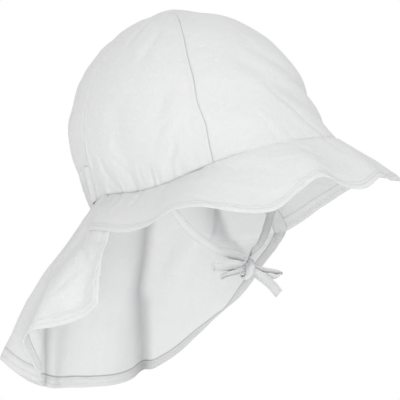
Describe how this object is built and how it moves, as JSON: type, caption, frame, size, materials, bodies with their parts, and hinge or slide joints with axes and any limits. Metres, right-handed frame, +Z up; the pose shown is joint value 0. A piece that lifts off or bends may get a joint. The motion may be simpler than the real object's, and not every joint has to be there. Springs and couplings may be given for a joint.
{
  "type": "legionnaire sun hat",
  "caption": "Soft child's sun hat: panelled crown with a gathered band at the nape, wavy brim, long neck flap over back and sides, and chin tapes tied in a bow.",
  "frame": {"origin": "middle of the head opening, level with the mean height of the crown's rim, where a head holds the hat up", "axes": "+Z up as worn, -Y to the front of the hat, -X to the wearer's right, +X to the wearer's left"},
  "size_m": [0.2226, 0.2664, 0.2681],
  "materials": {
    "cotton_cloth": "plain woven white cotton, matt",
    "cotton_tape": "folded white cotton tape, edge stitched"
  },
  "bodies": {
    "root": {"crown_front_panel": "cotton_cloth", "crown_side_panel_right": "cotton_cloth", "crown_side_panel_left": "cotton_cloth", "crown_back_panel_right": "cotton_cloth", "crown_back_panel_left": "cotton_cloth", "back_band": "cotton_cloth", "brim": "cotton_cloth", "neck_flap": "cotton_cloth", "tie_right": "cotton_tape", "tie_left": "cotton_tape", "bow_knot": "cotton_tape", "bow_loop_right": "cotton_tape", "bow_loop_left": "cotton_tape", "bow_tail_right": "cotton_tape", "bow_tail_left": "cotton_tape"}
  },
  "joints": []
}
